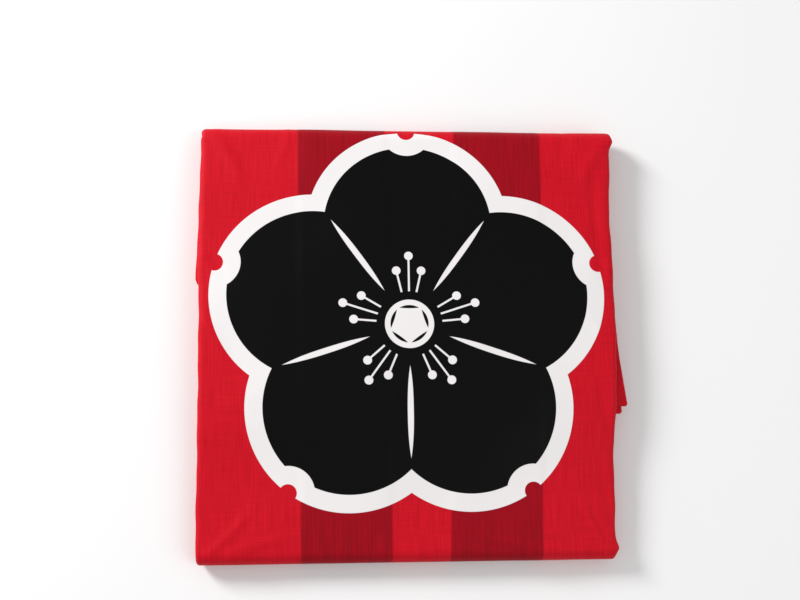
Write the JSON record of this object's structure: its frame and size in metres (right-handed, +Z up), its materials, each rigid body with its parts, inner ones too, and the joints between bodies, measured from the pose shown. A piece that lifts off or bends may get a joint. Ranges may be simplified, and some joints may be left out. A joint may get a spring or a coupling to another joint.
{
  "type": "happi coat, folded flat",
  "caption": "Light festival jacket of thin cloth, folded flat with its back on top; a dark collar band lies under the back and shows round the neck on the underside.",
  "frame": {"origin": "middle of the underside of the folded coat", "axes": "+Z up from the underside, +Y towards the folded neck end, +X to the right as seen from above"},
  "size_m": [0.2495, 0.253, 0.0194],
  "materials": {
    "red_cloth": "thin polyester plain weave, soft sheen",
    "navy_cloth": "polyester plain weave, folded double"
  },
  "bodies": {
    "root": {"back_panel": "red_cloth", "left_front": "red_cloth", "right_front": "red_cloth", "collar_left": "navy_cloth", "collar_right": "navy_cloth", "collar_neck": "navy_cloth", "right_sleeve": "red_cloth", "left_sleeve": "red_cloth", "folded_layers": "red_cloth"}
  },
  "joints": []
}
